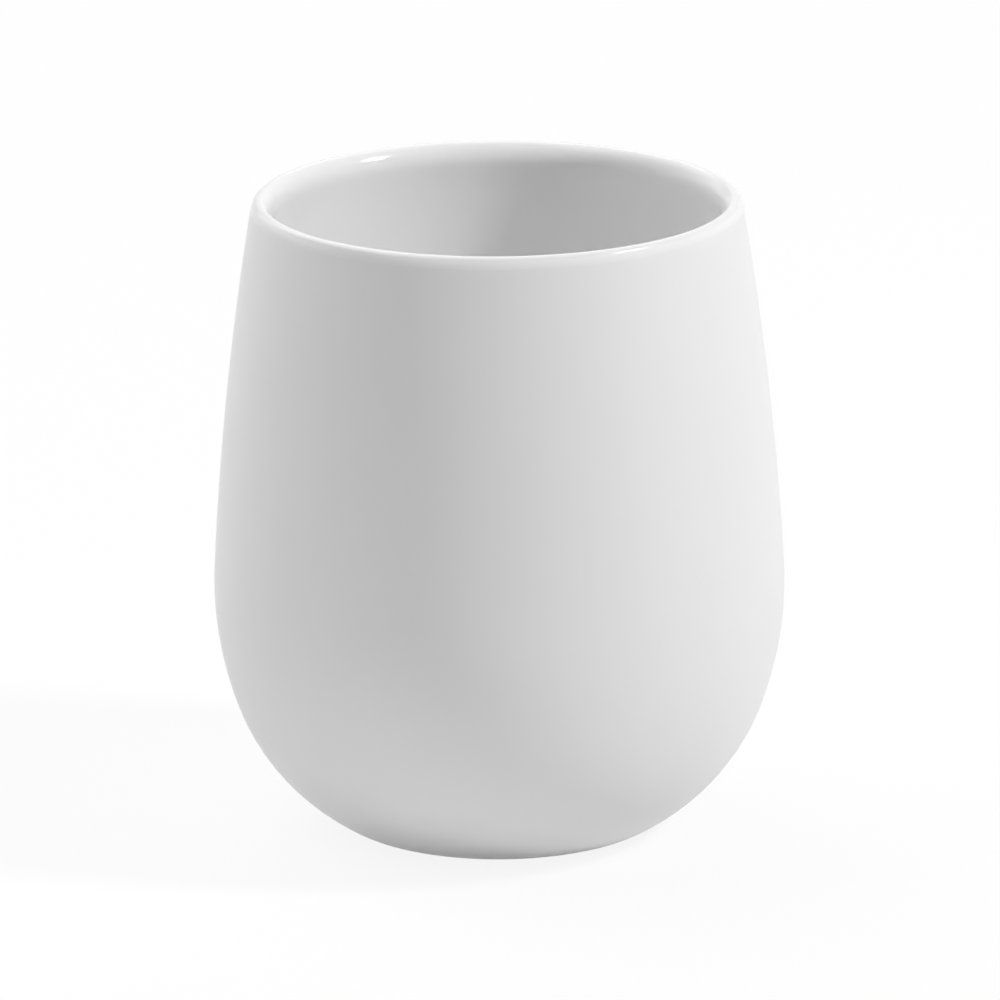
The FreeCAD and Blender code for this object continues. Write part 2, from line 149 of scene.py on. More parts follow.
class TumblerForm(bpy.types.PropertyGroup):
    """Sizes of the pot, its glazes and its pad"""

    overall_height: length_property("Overall height", "From the pad's underside to the lip's crest", 0.0932)
    belly_diameter: length_property("Belly diameter", "Widest circle of the glazed outside", 0.083)
    belly_height: length_property("Belly height", "Level of the widest circle", 0.036)
    belly_curve: length_property("Belly curve", "Radius of the belly's curve", 0.052)
    belly_rise: length_property(
        "Belly rise", "How far the belly's curve runs above the widest circle", 0.003)
    heel_height: length_property("Heel height", "Level where the belly rolls into the heel", 0.0183)
    heel_roll: length_property(
        "Heel roll", "Radius of the bare curve from the heel to the foot ring", 0.0058)
    lip_diameter: length_property("Lip diameter", "Circle of the lip's crest", 0.0684)
    crest_round: length_property("Crest round", "Radius of the glazed lip at its crest", 0.001)
    outer_ease: length_property(
        "Outer ease", "Radius of the glazed curve from the crest to the side", 0.0032)
    outer_turn: angle_property("Outer turn", "How far the crest's round turns before the outer ease", 59.4)
    inner_ease: length_property(
        "Inner ease", "Radius of the glazed curve from the crest to the inside", 0.0035)
    inner_turn: angle_property("Inner turn", "How far the crest's round turns before the inner ease", 40.5)
    wall_thickness: length_property("Wall thickness", "Bare wall of the pot", 0.0034)
    glaze_thickness: length_property("Glaze thickness", "Each of the two glazes", 0.00025)
    foot_diameter: length_property("Foot diameter", "Outer edge of the flat foot ring", 0.042)
    foot_ring_width: length_property("Foot ring width", "Flat ring round the recess", 0.003)
    foot_rounding: length_property("Foot rounding", "Rounding of the foot ring's inner edge", 0.0006)
    recess_rounding: length_property("Recess rounding", "Rounding inside the recess", 0.0004)
    glaze_rounding: length_property("Glaze rounding", "Rounding of the satin glaze's wiped edge", 0.0002)
    pad_clearance: length_property("Pad clearance", "Gap between the pad and the recess wall", 0.0005)
    pad_rounding: length_property("Pad rounding", "Rounding of the pad's lower edge", 0.0004)
    turn_steps: IntProperty(
        name="Turn steps", description="Faces round the axis", default=256, min=24, max=512)


class TumblerFinish(bpy.types.PropertyGroup):
    """Colours and roughness of the finishes"""

    satin_colour: colour_property("Satin glaze", "Outside", SLOT_COLOURS["satin_glaze"])
    gloss_colour: colour_property("Gloss glaze", "Inside", SLOT_COLOURS["gloss_glaze"])
    stoneware_colour: colour_property(
        "Bare stoneware", "Foot ring and recess", SLOT_COLOURS["bare_stoneware"])
    pad_colour: colour_property("Pad", "Soft disc under the foot", SLOT_COLOURS["pad_rubber"])
    film_colour: colour_property("Film", "Adhesive film over the pad", SLOT_COLOURS["adhesive_film"])
    # The lip is darker than the lining: partly the glaze thinning over it, partly painted shade on the
    # brightly lit crest
    lip_thin_glaze_and_shade_colour: colour_property("Lip", "Gloss glaze where it thins over the lip", (0.83, 0.83, 0.833))
    satin_roughness: share_property("Satin roughness", "Middle of the outside's roughness", 0.42)
    gloss_roughness: share_property("Gloss roughness", "Middle of the inside's roughness", 0.12)
    lip_roughness: share_property("Lip roughness", "Middle of the lip's roughness", 0.16)


class TumblerStage(bpy.types.PropertyGroup):
    """Camera and lights"""

    camera_distance: length_property("Camera distance", "From the aim to the camera", 1.2)
    camera_elevation: angle_property("Camera elevation", "Angle of the camera above the level", 16.19)
    camera_roll: angle_property("Camera roll", "Turn of the camera about its line of sight", -0.385)
    camera_lens: FloatProperty(
        name="Lens", description="Focal length in millimetres", default=297.5, min=1.0, unit="CAMERA")
    camera_aim: FloatVectorProperty(
        name="Aim", description="Point in the middle of the picture",
        default=(0.000154, 0.0, 0.04786), size=3, subtype="TRANSLATION")
    key_power: power_property("Key power", "Small light at the right", 9.8)
    fill_power: power_property("Fill power", "Wide light at the left", 13.6)
    back_power: power_property("Back power", "Wide light behind", 12.0)
    front_power: power_property("Front power", "Wide light at the camera's side", 3.7)
    ambient: FloatProperty(name="Ambient", description="White light from all round", default=0.02, min=0.0)
    floor_glow: share_property("Floor glow", "Share of the floor's white that no shadow darkens", 0.88)


class PotCurves:
    """Arcs of the pot's half section, where x is the radius about the axis and y the height."""

    def __init__(self, form):
        self.form = form
        self.glaze = form.glaze_thickness
        self.bare_inside = self.glaze + form.wall_thickness
        self.belly_centre = Vector((form.belly_diameter / 2 - form.belly_curve, form.belly_height))
        self.side_normal = self.belly_normal(form.belly_rise)
        self.heel_normal = self.belly_normal(form.heel_height - form.belly_height)

        # The lip's crest, and the two gentler curves that ease it into the side and into the inside
        self.crest_centre = Vector((form.lip_diameter / 2, form.overall_height - form.crest_round))
        self.outer_facing = Vector((math.sin(form.outer_turn), math.cos(form.outer_turn)))
        self.inner_facing = Vector((-math.sin(form.inner_turn), math.cos(form.inner_turn)))
        self.outer_centre = self.crest_centre - self.outer_facing * (form.outer_ease - form.crest_round)
        self.inner_centre = self.crest_centre - self.inner_facing * (form.inner_ease - form.crest_round)
        bare_side = self.belly_top(self.glaze)
        bare_ease = form.outer_ease - self.glaze
        self.side_centre = touching(bare_side, self.side_normal, self.outer_centre, bare_ease)

        # The heel, and the tighter curve that rolls it under to the foot ring
        self.roll_centre = Vector((form.foot_diameter / 2, FOOT_LEVEL + form.heel_roll))
        bare_heel = self.belly_bottom(self.glaze)
        self.heel_centre = touching(bare_heel, self.heel_normal, self.roll_centre, form.heel_roll)

    def belly_normal(self, rise):
        """Direction that the belly faces where its glazed curve is this far above the widest circle."""
        share = rise / self.form.belly_curve
        return Vector((math.sqrt(1 - share**2), share))

    def belly_point(self, depth, rise):
        """Point of the belly's curve at a depth below the glazed outside."""
        return self.belly_centre + self.belly_normal(rise) * (self.form.belly_curve - depth)

    def belly_top(self, depth):
        """Upper end of the belly's curve."""
        return self.belly_point(depth, self.form.belly_rise)

    def belly_bottom(self, depth):
        """Lower end of the belly's curve."""
        return self.belly_point(depth, self.form.heel_height - self.form.belly_height)

    def inside(self, glaze):
        """Run under or over the inside's glaze, from the floor's middle over the lip to the glaze line."""
        depth = self.bare_inside + glaze
        floor_level = BARE_FLOOR_LEVEL + glaze
        crest_round = self.form.crest_round - self.glaze + glaze
        inner_ease = self.form.inner_ease - self.glaze + glaze
        heel_start = self.belly_bottom(depth)
        heel_radius = (heel_start.y - floor_level) / (1 + self.heel_normal.y)
        heel_centre = heel_start - self.heel_normal * heel_radius
        wall_start = self.belly_top(depth)
        wall_centre = touching(wall_start, self.side_normal, self.inner_centre, -inner_ease)
        points = [
            Vector((0.0, floor_level)),
            Vector((heel_centre.x, floor_level)),
            heel_start,
            wall_start,
            along(wall_centre, self.inner_centre, (wall_start - wall_centre).length),
            self.crest_centre + self.inner_facing * crest_round,
            self.crest_centre + self.outer_facing * crest_round,
            self.glaze_line(self.glaze - glaze),
        ]
        low_centres = [None, heel_centre, self.belly_centre, wall_centre]
        return Run(points, low_centres + [self.inner_centre, self.crest_centre, self.outer_centre])

    def glaze_line(self, depth):
        """Point at a depth below the glazed outside where the two glazes meet, square to the surface."""
        return along(self.side_centre, self.outer_centre, (self.belly_top(depth) - self.side_centre).length)

    def outside(self, depth, low_level):
        """Run up the outside, from a level on the heel's roll to the glaze line under the lip."""
        roll_radius = self.form.heel_roll + self.glaze - depth
        heel_radius = (self.belly_bottom(depth) - self.heel_centre).length
        points = [
            point_at_level(self.roll_centre, roll_radius, low_level),
            along(self.heel_centre, self.roll_centre, heel_radius),
            self.belly_bottom(depth),
            self.belly_top(depth),
            self.glaze_line(depth),
        ]
        return Run(points, [self.roll_centre, self.heel_centre, self.belly_centre, self.side_centre])


def touching(start, normal, circle_centre, reach):
    """Centre of the arc that leaves a point square to a normal and runs smoothly into a circle.

    The reach is the circle's radius, below zero where the arc passes the circle on its far side.
    """
    offset = start - circle_centre
    radius = (offset.dot(offset) - reach**2) / (2 * (offset.dot(normal) - reach))
    return start - normal * radius


def along(first, second, distance):
    """Point at a distance from the first point, towards the second."""
    return first + (second - first).normalized() * distance


def point_at_level(centre, radius, level):
    """Point of a circle at a height, on the side away from the axis."""
    across = max(0.0, radius**2 - (level - centre.y)**2)
    return Vector((centre.x + math.sqrt(across), level))


def backwards(run):
    """The same run from its other end."""
    return Run(run.points[::-1], run.centres[::-1])


class TurnedSection:
    """A half section drawn point by point in edit mode, and then turned about the axis into a piece."""

    def __init__(self, name, start):
        bpy.ops.object.select_all(action="DESELECT")
        bpy.ops.mesh.primitive_plane_add(size=SEED_SIZE, location=(start.x, 0.0, start.y))
        self.piece = bpy.context.object
        self.piece.name = name
        self.piece.data.name = name
        self.end = start
        bpy.ops.object.transform_apply(location=True, rotation=True, scale=True)
        bpy.ops.object.mode_set(mode="EDIT")
        bpy.ops.mesh.select_mode(type="VERT")
        bpy.ops.mesh.select_all(action="SELECT")
        bpy.ops.mesh.merge(type="CENTER")

    def line_to(self, point):
        """Runs the section straight on to a point."""
        step = point - self.end
        bpy.ops.mesh.extrude_region_move(TRANSFORM_OT_translate={"value": (step.x, 0.0, step.y)})
        self.end = point

    def arc_to(self, centre, point):
        """Runs the section on round a centre to a point."""
        first = self.end - centre
        last = point - centre
        angle = math.atan2(first.x * last.y - first.y * last.x, first.dot(last))
        steps = max(abs(angle) * first.length / ARC_STEP, abs(angle) / ARC_TURN)
        bpy.ops.mesh.spin(
            steps=math.ceil(steps), angle=abs(angle), use_auto_merge=False,
            center=(centre.x, 0.0, centre.y), axis=(0.0, math.copysign(1.0, angle), 0.0))
        self.end = point

    def follow(self, run):
        """Runs the section along a run that starts where the section ends."""
        for point, centre in zip(run.points[1:], run.centres):
            if centre is None:
                self.line_to(point)
            else:
                self.arc_to(centre, point)

    def turned(self, steps):
        """Turns the section about the axis, closes its seam and poles, and faces it outwards."""
        bpy.ops.mesh.select_all(action="SELECT")
        bpy.ops.mesh.spin(
            steps=steps, angle=2 * math.pi, use_auto_merge=True,
            center=(0.0, 0.0, 0.0), axis=(0.0, 0.0, 1.0))
        bpy.ops.mesh.select_all(action="SELECT")
        bpy.ops.mesh.remove_doubles(threshold=WELD)
        bpy.ops.mesh.normals_make_consistent(inside=False)
        bpy.ops.object.mode_set(mode="OBJECT")
        return self.piece


def on_ring(place, ring):
    """Whether a vertex lies on the circle about the axis with this radius and level."""
    return abs(math.hypot(place.x, place.y) - ring.x) < WELD and abs(place.z - ring.y) < WELD


def round_rings(piece, width, segments, rings):
    """Rounds the ring-shaped edges that lie at the given radii and levels."""
    bpy.ops.object.mode_set(mode="EDIT")
    bpy.ops.mesh.select_mode(type="EDGE")
    bpy.ops.mesh.select_all(action="DESELECT")
    bpy.ops.object.mode_set(mode="OBJECT")
    vertices = piece.data.vertices
    found = 0
    for edge in piece.data.edges:
        places = [vertices[number].co for number in edge.vertices]
        edge.select = any(all(on_ring(place, ring) for place in places) for ring in rings)
        found += edge.select
    if not found:
        raise RuntimeError(f"{piece.name} has no edge to round")
    bpy.ops.object.mode_set(mode="EDIT")
    bpy.ops.mesh.bevel(offset=width, segments=segments, profile=0.5, affect="EDGES")
    bpy.ops.object.mode_set(mode="OBJECT")


def settle_piece(piece, material, node):
    """Smooths a finished piece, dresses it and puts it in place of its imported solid."""
    bpy.ops.object.shade_smooth_by_angle(angle=SMOOTH_ANGLE)
    piece.data.materials.clear()
    piece.data.materials.append(material)
    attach(piece, "root")
    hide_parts(node)


class Finish:
    """A material on Object coordinates, built up node by node on a Principled shader."""

    def __init__(self, name):
        self.material = bpy.data.materials.new(name)
        self.material.use_nodes = True
        self.nodes = self.material.node_tree.nodes
        self.links = self.material.node_tree.links
        self.shader = self.nodes["Principled BSDF"]
        self.place = self.nodes.new("ShaderNodeTexCoord").outputs["Object"]

    def noise(self, size, detail=2.0):
        """Clouds whose blotches are about the given size across."""
        node = self.nodes.new("ShaderNodeTexNoise")
        node.inputs["Scale"].default_value = 1 / size
        node.inputs["Detail"].default_value = detail
        self.links.new(self.place, node.inputs["Vector"])
        return node.outputs["Fac"]

    def cells(self, size):
        """Distance from the middle of round cells about the given size across."""
        node = self.nodes.new("ShaderNodeTexVoronoi")
        node.inputs["Scale"].default_value = 1 / size
        self.links.new(self.place, node.inputs["Vector"])
        return node.outputs["Distance"]

    def height(self):
        """Level above the surface that the tumbler stands on."""
        node = self.nodes.new("ShaderNodeSeparateXYZ")
        self.links.new(self.place, node.inputs["Vector"])
        return node.outputs["Z"]

    def radius(self):
        """Distance from the axis."""
        flat = self.nodes.new("ShaderNodeVectorMath")
        flat.operation = "MULTIPLY"
        flat.inputs[1].default_value = (1.0, 1.0, 0.0)
        self.links.new(self.place, flat.inputs[0])
        node = self.nodes.new("ShaderNodeVectorMath")
        node.operation = "LENGTH"
        self.links.new(flat.outputs["Vector"], node.inputs[0])
        return node.outputs["Value"]

    def ranged(self, source, from_low, from_high, to_low, to_high):
        """A value carried over from one range to another."""
        node = self.nodes.new("ShaderNodeMapRange")
        node.inputs["From Min"].default_value = from_low
        node.inputs["From Max"].default_value = from_high
        node.inputs["To Min"].default_value = to_low
        node.inputs["To Max"].default_value = to_high
        self.links.new(source, node.inputs["Value"])
        return node.outputs["Result"]

    def share(self, source, start, end):
        """How far a value has come from its start to its end, between 0 and 1."""
        return self.ranged(source, start, end, 0.0, 1.0)

    def faded(self, share, first, last):
        """A value that goes from the first to the last as a share goes from 0 to 1."""
        return self.ranged(share, 0.0, 1.0, first, last)

    def uneven(self, size, low, high):
        """A value that wanders between two values, in patches about the given size across."""
        return self.ranged(self.noise(size), NOISE_LOW, NOISE_HIGH, low, high)

    def joined(self, operation, first, second):
        """Two values put together."""
        node = self.nodes.new("ShaderNodeMath")
        node.operation = operation
        self.links.new(first, node.inputs[0])
        self.links.new(second, node.inputs[1])
        return node.outputs["Value"]

    def times(self, first, second):
        """Two values multiplied."""
        return self.joined("MULTIPLY", first, second)

    def plus(self, first, second):
        """Two values added."""
        return self.joined("ADD", first, second)

    def colour(self, share, first, second):
        """Colours the shader from the first colour to the second; either may be an earlier mix."""
        node = self.nodes.new("ShaderNodeMix")
        node.data_type = "RGBA"
        self.links.new(share, node.inputs["Factor"])
        for socket, colour in (("A", first), ("B", second)):
            if isinstance(colour, bpy.types.NodeSocket):
                self.links.new(colour, node.inputs[socket])
            else:
                node.inputs[socket].default_value = (*colour, 1.0)
        self.links.new(node.outputs["Result"], self.shader.inputs["Base Color"])
        return node.outputs["Result"]

    def clouded(self, clouds, colour, shades):
        """Colours the shader from one shade of a colour to another, as the clouds go."""
        first, second = shades
        return self.colour(clouds, shaded(colour, first), shaded(colour, second))

    def roughness(self, source):
        """Drives the shader's roughness."""
        self.links.new(source, self.shader.inputs["Roughness"])

    def bump(self, source, depth, under=None):
        """Raises the surface by a depth where the source is high, over an earlier bump."""
        node = self.nodes.new("ShaderNodeBump")
        node.inputs["Strength"].default_value = 1.0
        node.inputs["Distance"].default_value = depth
        self.links.new(source, node.inputs["Height"])
        if under is not None:
            self.links.new(under, node.inputs["Normal"])
        self.links.new(node.outputs["Normal"], self.shader.inputs["Normal"])
        return node.outputs["Normal"]


def shaded(colour, factor):
    """A colour made lighter or darker."""
    return tuple(min(1.0, channel * factor) for channel in colour)


def satin_glaze(finish):
    """White satin glaze: faint clouds, a silky uneven sheen and a fine orange peel."""
    sheen_spread = 0.04
    peel_size = 0.0011
    peel_depth = 0.000004
    grain_size = 0.00035
    grain_depth = 0.0000008
    made = Finish("white_satin_glaze")
    rough = finish.satin_roughness
    made.clouded(made.noise(CLOUD_SIZE, CLOUD_DETAIL), finish.satin_colour, SATIN_SHADES)
    made.roughness(made.uneven(SHEEN_SIZE, rough - sheen_spread, rough + sheen_spread))
    peel = made.bump(made.noise(peel_size, detail=1.0), peel_depth)
    made.bump(made.noise(grain_size, detail=0.0), grain_depth, peel)
    return made.material


def gloss_glaze(finish):
    """White gloss glaze: a smooth melt with slow waves, thin and darker over the lip, partly as painted
    shade, that runs into the satin.
    """
    sheen_spread = 0.02
    wave_size = 0.012
    wave_depth = 0.000005
    ripple_size = 0.0022
    ripple_depth = 0.0000015
    made = Finish("white_gloss_glaze")
    made.shader.inputs["Specular IOR Level"].default_value = GLOSS_SPECULAR
    form = bpy.context.scene.tumbler_form
    curves = PotCurves(form)
    crest = curves.crest_centre
    line_level = curves.glaze_line(0.0).y
    thin_level = form.overall_height - LIP_THINNED
    settled_level = form.overall_height - LIP_SETTLED
    run_out_level = form.overall_height - LIP_RUN_OUT
    clouds = made.noise(CLOUD_SIZE, CLOUD_DETAIL)

    # The glaze has its full body a little below the crest, and inside the crest's circle
    lower = made.share(made.height(), thin_level, settled_level)
    gathered = made.share(made.radius(), crest.x, crest.x - LIP_GATHERED)
    settled = made.joined("MAXIMUM", lower, gathered)

    # Outside the crest's circle it runs into the satin. Deep inside, the pot is as wide as the lip's
    # outside, so the run ends below the glaze line
    running = made.share(made.height(), settled_level, run_out_level)
    wide = made.share(made.radius(), crest.x, crest.x + LIP_GATHERED)
    near_lip = made.share(made.height(), line_level - 2 * LIP_GATHERED, line_level - LIP_GATHERED)
    outside = made.times(near_lip, made.times(running, wide))

    lining = made.clouded(clouds, finish.gloss_colour, LINING_SHADES)
    # Over the crest the lining darkens to the lip's colour: thinner glaze, and painted shade on the
    # brightly lit crest
    thinned_and_shaded = made.colour(settled, finish.lip_thin_glaze_and_shade_colour, lining)
    skin = made.clouded(clouds, finish.satin_colour, SATIN_SHADES)
    made.colour(outside, thinned_and_shaded, skin)

    inner_rough = made.faded(settled, finish.lip_roughness, finish.gloss_roughness)
    inner_part = made.times(inner_rough, made.faded(outside, 1.0, 0.0))
    outer_part = made.faded(outside, 0.0, finish.satin_roughness)
    patches = made.uneven(SHEEN_SIZE, -sheen_spread, sheen_spread)
    made.roughness(made.plus(made.plus(inner_part, outer_part), patches))
    waves = made.bump(made.noise(wave_size, detail=1.0), wave_depth)
    made.bump(made.noise(ripple_size, detail=0.0), ripple_depth, waves)
    return made.material


def bare_stoneware(finish):
    """Fired clay: warm, grainy and matte, with dark specks and a grey rub mark on the foot ring."""
    cloud_size = 0.0035
    cloud_shades = (0.9, 1.06)
    speck_size = 0.0009
    speck_edge = (0.08, 0.16)
    speck_strength = 0.7
    speck_shade = 0.45
    patch_size = 0.004
    patch_edge = (0.52, 0.62)
    rub_height = 0.0003
    rub_strength = 0.55
    rub_size = 0.0025
    rub_edge = (0.42, 0.6)
    rub_shade = 0.62
    sheen_size = 0.0015
    sheen_range = (0.78, 0.94)
    grain_size = 0.00045
    grain_depth = 0.00003
    pit_size = 0.0012
    pit_depth = 0.000012
    made = Finish("fired_stoneware")
    clay = finish.stoneware_colour
    clouds = made.clouded(made.noise(cloud_size, detail=4.0), clay, cloud_shades)
    specks = made.ranged(made.cells(speck_size), *speck_edge, speck_strength, 0.0)
    rarely = made.share(made.noise(patch_size, detail=1.0), *patch_edge)
    speckled = made.colour(made.times(specks, rarely), clouds, shaded(clay, speck_shade))
    low = made.ranged(made.height(), FOOT_LEVEL, FOOT_LEVEL + rub_height, rub_strength, 0.0)
    rubbed = made.share(made.noise(rub_size, detail=3.0), *rub_edge)
    made.colour(made.times(low, rubbed), speckled, shaded(clay, rub_shade))
    made.roughness(made.uneven(sheen_size, *sheen_range))
    grain = made.bump(made.noise(grain_size, detail=3.0), grain_depth)
    made.bump(made.cells(pit_size), pit_depth, grain)
    return made.material


def pad_rubber(finish):
    """Soft foamed pad: fine closed cells, a dusty tone and a matte face."""
    tone_size = 0.006
    tone_shades = (0.92, 1.05)
    cell_size = 0.0007
    cell_reach = 0.35
    cell_strength = 0.5
    cell_shade = 0.78
    cell_depth = 0.00004
    sheen_size = 0.0012
    sheen_range = (0.68, 0.86)
    grain_size = 0.00025
    grain_depth = 0.000008
    made = Finish("grey_pad")
    tone = made.clouded(made.noise(tone_size, detail=3.0), finish.pad_colour, tone_shades)
    cells = made.cells(cell_size)
    middles = made.ranged(cells, 0.0, cell_reach, cell_strength, 0.0)
    made.colour(middles, tone, shaded(finish.pad_colour, cell_shade))
    made.roughness(made.uneven(sheen_size, *sheen_range))
    skin = made.bump(cells, cell_depth)
    made.bump(made.noise(grain_size, detail=1.0), grain_depth, skin)
    return made.material


def adhesive_film(finish):
    """Double-sided film: milky, with a faint grain of its tissue and small trapped bubbles."""
    tissue_size = 0.0014
    tissue_shades = (0.93, 1.04)
    bubble_size = 0.0024
    bubble_edge = (0.1, 0.2)
    bubble_strength = 0.5
    bubble_shade = 1.12
    bubble_depth = 0.00001
    sheen_size = 0.0008
    sheen_range = (0.3, 0.48)
    made = Finish("milky_film")
    film = finish.film_colour
    tissue = made.clouded(made.noise(tissue_size, detail=4.0), film, tissue_shades)
    bubbles = made.ranged(made.cells(bubble_size), *bubble_edge, bubble_strength, 0.0)
    made.colour(bubbles, tissue, shaded(film, bubble_shade))
    made.roughness(made.uneven(sheen_size, *sheen_range))
    made.bump(made.cells(bubble_size), bubble_depth)
    return made.material


class TUMBLER_OT_satin_skin(bpy.types.Operator):
    """Models the satin glaze on the outside, from under the lip to the wiped band at the foot"""

    bl_idname = "tumbler.satin_skin"
    bl_label = "Satin skin"

    def execute(self, context):
        form = context.scene.tumbler_form
        curves = PotCurves(form)
        bare = curves.outside(curves.glaze, WIPED_LEVEL)
        glazed = curves.outside(0.0, WIPED_LEVEL)
        section = TurnedSection("satin_skin", bare.points[0])
        section.line_to(glazed.points[0])
        section.follow(glazed)
        section.line_to(bare.points[-1])
        section.follow(backwards(bare))
        skin = section.turned(form.turn_steps)
        round_rings(skin, form.glaze_rounding, TIGHT_STRIPS, [glazed.points[0]])
        settle_piece(skin, satin_glaze(context.scene.tumbler_finish), "outer_satin_glaze")
        return {"FINISHED"}


class TUMBLER_OT_gloss_lining(bpy.types.Operator):
    """Models the gloss glaze that lines the inside and rolls over the lip"""

    bl_idname = "tumbler.gloss_lining"
    bl_label = "Gloss lining"

    def execute(self, context):
        form = context.scene.tumbler_form
        curves = PotCurves(form)
        bare = curves.inside(0.0)
        glazed = curves.inside(curves.glaze)
        section = TurnedSection("gloss_lining", bare.points[0])
        section.follow(bare)
        section.line_to(glazed.points[-1])
        section.follow(backwards(glazed))
        lining = section.turned(form.turn_steps)
        settle_piece(lining, gloss_glaze(context.scene.tumbler_finish), "inner_gloss_glaze")
        return {"FINISHED"}


class TUMBLER_OT_stoneware_pot(bpy.types.Operator):
    """Models the fired pot with its rounded foot ring and the recess inside it"""

    bl_idname = "tumbler.stoneware_pot"
    bl_label = "Stoneware pot"

    def execute(self, context):
        form = context.scene.tumbler_form
        curves = PotCurves(form)
        outside = curves.outside(curves.glaze, FOOT_LEVEL)
        recess_edge = Vector((form.foot_diameter / 2 - form.foot_ring_width, FOOT_LEVEL))
        recess_corner = Vector((recess_edge.x, RECESS_LEVEL))
        section = TurnedSection("stoneware_pot", Vector((0.0, BARE_FLOOR_LEVEL)))
        section.follow(curves.inside(0.0))
        section.follow(backwards(outside))
        section.line_to(recess_edge)
        section.line_to(recess_corner)
        section.line_to(Vector((0.0, RECESS_LEVEL)))
        pot = section.turned(form.turn_steps)
        round_rings(pot, form.foot_rounding, OPEN_STRIPS, [recess_edge])
        round_rings(pot, form.recess_rounding, TIGHT_STRIPS, [recess_corner])
        settle_piece(pot, bare_stoneware(context.scene.tumbler_finish), "stoneware_body")
        return {"FINISHED"}


class TUMBLER_OT_foot_pad(bpy.types.Operator):
    """Models the soft disc in the foot's recess, with its lower edge rounded"""

    bl_idname = "tumbler.foot_pad"
    bl_label = "Foot pad"

    def execute(self, context):
        form = context.scene.tumbler_form
        radius = form.foot_diameter / 2 - form.foot_ring_width - form.pad_clearance
        low_edge = Vector((radius, PAD_LOW_LEVEL))
        high_edge = Vector((radius, PAD_HIGH_LEVEL))
        section = TurnedSection("foot_pad", Vector((0.0, PAD_LOW_LEVEL)))
        section.line_to(low_edge)
        section.line_to(high_edge)
        section.line_to(Vector((0.0, PAD_HIGH_LEVEL)))
        pad = section.turned(form.turn_steps)
        round_rings(pad, form.pad_rounding, OPEN_STRIPS, [low_edge])
        settle_piece(pad, pad_rubber(context.scene.tumbler_finish), "base_pad")
        return {"FINISHED"}


class TUMBLER_OT_adhesive_film(bpy.types.Operator):
    """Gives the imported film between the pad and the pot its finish"""

    bl_idname = "tumbler.adhesive_film"
    bl_label = "Adhesive film"

    def execute(self, context):
        film = frame["nodes"]["pad_adhesive"]
        film.data.materials.clear()
        film.data.materials.append(adhesive_film(context.scene.tumbler_finish))
        return {"FINISHED"}


def add_lamp(name, place, power):
    """Puts up an area light that faces the tumbler's middle."""
    turn = math.radians(place.azimuth)
    rise = math.radians(place.elevation)
    towards = Vector((math.sin(turn) * math.cos(rise), -math.cos(turn) * math.cos(rise), math.sin(rise)))
    target = Vector((0.0, 0.0, bpy.context.scene.tumbler_form.overall_height / 2))
    data = bpy.data.lights.new(name, "AREA")
    data.shape = "SQUARE"
    data.size = place.size
    data.energy = power
    lamp = bpy.data.objects.new(name, data)
    lamp.location = target + towards * place.distance
    lamp.rotation_euler = (-towards).to_track_quat("-Z", "Y").to_euler()
    bpy.context.scene.collection.objects.link(lamp)


def seen_rays(tree):
    """Socket that is 1 for rays that show a surface: from the camera, from gloss and through glass."""
    path = tree.nodes.new("ShaderNodeLightPath")
    seen = path.outputs["Is Camera Ray"]
    for ray in ("Is Glossy Ray", "Is Transmission Ray"):
        either = tree.nodes.new("ShaderNodeMath")
        either.operation = "MAXIMUM"
        tree.links.new(seen, either.inputs[0])
        tree.links.new(path.outputs[ray], either.inputs[1])
        seen = either.outputs["Value"]
    return seen


def white_world(stage):
    """A world that looks white, and lights the tumbler softly from all round."""
    world = bpy.data.worlds.new("white_room")
    world.use_nodes = True
    tree = world.node_tree
    lighting = tree.nodes["Background"]
    lighting.inputs["Color"].default_value = WHITE
    lighting.inputs["Strength"].default_value = stage.ambient
    shown = tree.nodes.new("ShaderNodeBackground")
    shown.inputs["Color"].default_value = WHITE
    shown.inputs["Strength"].default_value = 1.0
    chosen = tree.nodes.new("ShaderNodeMixShader")
    tree.links.new(seen_rays(tree), chosen.inputs["Fac"])
    tree.links.new(lighting.outputs["Background"], chosen.inputs[1])
    tree.links.new(shown.outputs["Background"], chosen.inputs[2])
    tree.links.new(chosen.outputs["Shader"], tree.nodes["World Output"].inputs["Surface"])
    bpy.context.scene.world = world


def white_floor_finish(stage):
    """Matte white floor that looks white to the camera and keeps the tumbler's shadow."""
    material = bpy.data.materials.new("white_floor")
    material.use_nodes = True
    tree = material.node_tree
    tree.nodes.remove(tree.nodes["Principled BSDF"])
    matte = tree.nodes.new("ShaderNodeBsdfDiffuse")
    matte.inputs["Color"].default_value = FLOOR_COLOUR
    glow = tree.nodes.new("ShaderNodeEmission")
    glow.inputs["Color"].default_value = WHITE
    glow.inputs["Strength"].default_value = 1.0
    share = tree.nodes.new("ShaderNodeMath")
    share.operation = "MULTIPLY"
    share.inputs[1].default_value = stage.floor_glow
    chosen = tree.nodes.new("ShaderNodeMixShader")
    tree.links.new(seen_rays(tree), share.inputs[0])
    tree.links.new(share.outputs["Value"], chosen.inputs["Fac"])
    tree.links.new(matte.outputs["BSDF"], chosen.inputs[1])
    tree.links.new(glow.outputs["Emission"], chosen.inputs[2])
    tree.links.new(chosen.outputs["Shader"], tree.nodes["Material Output"].inputs["Surface"])
    return material


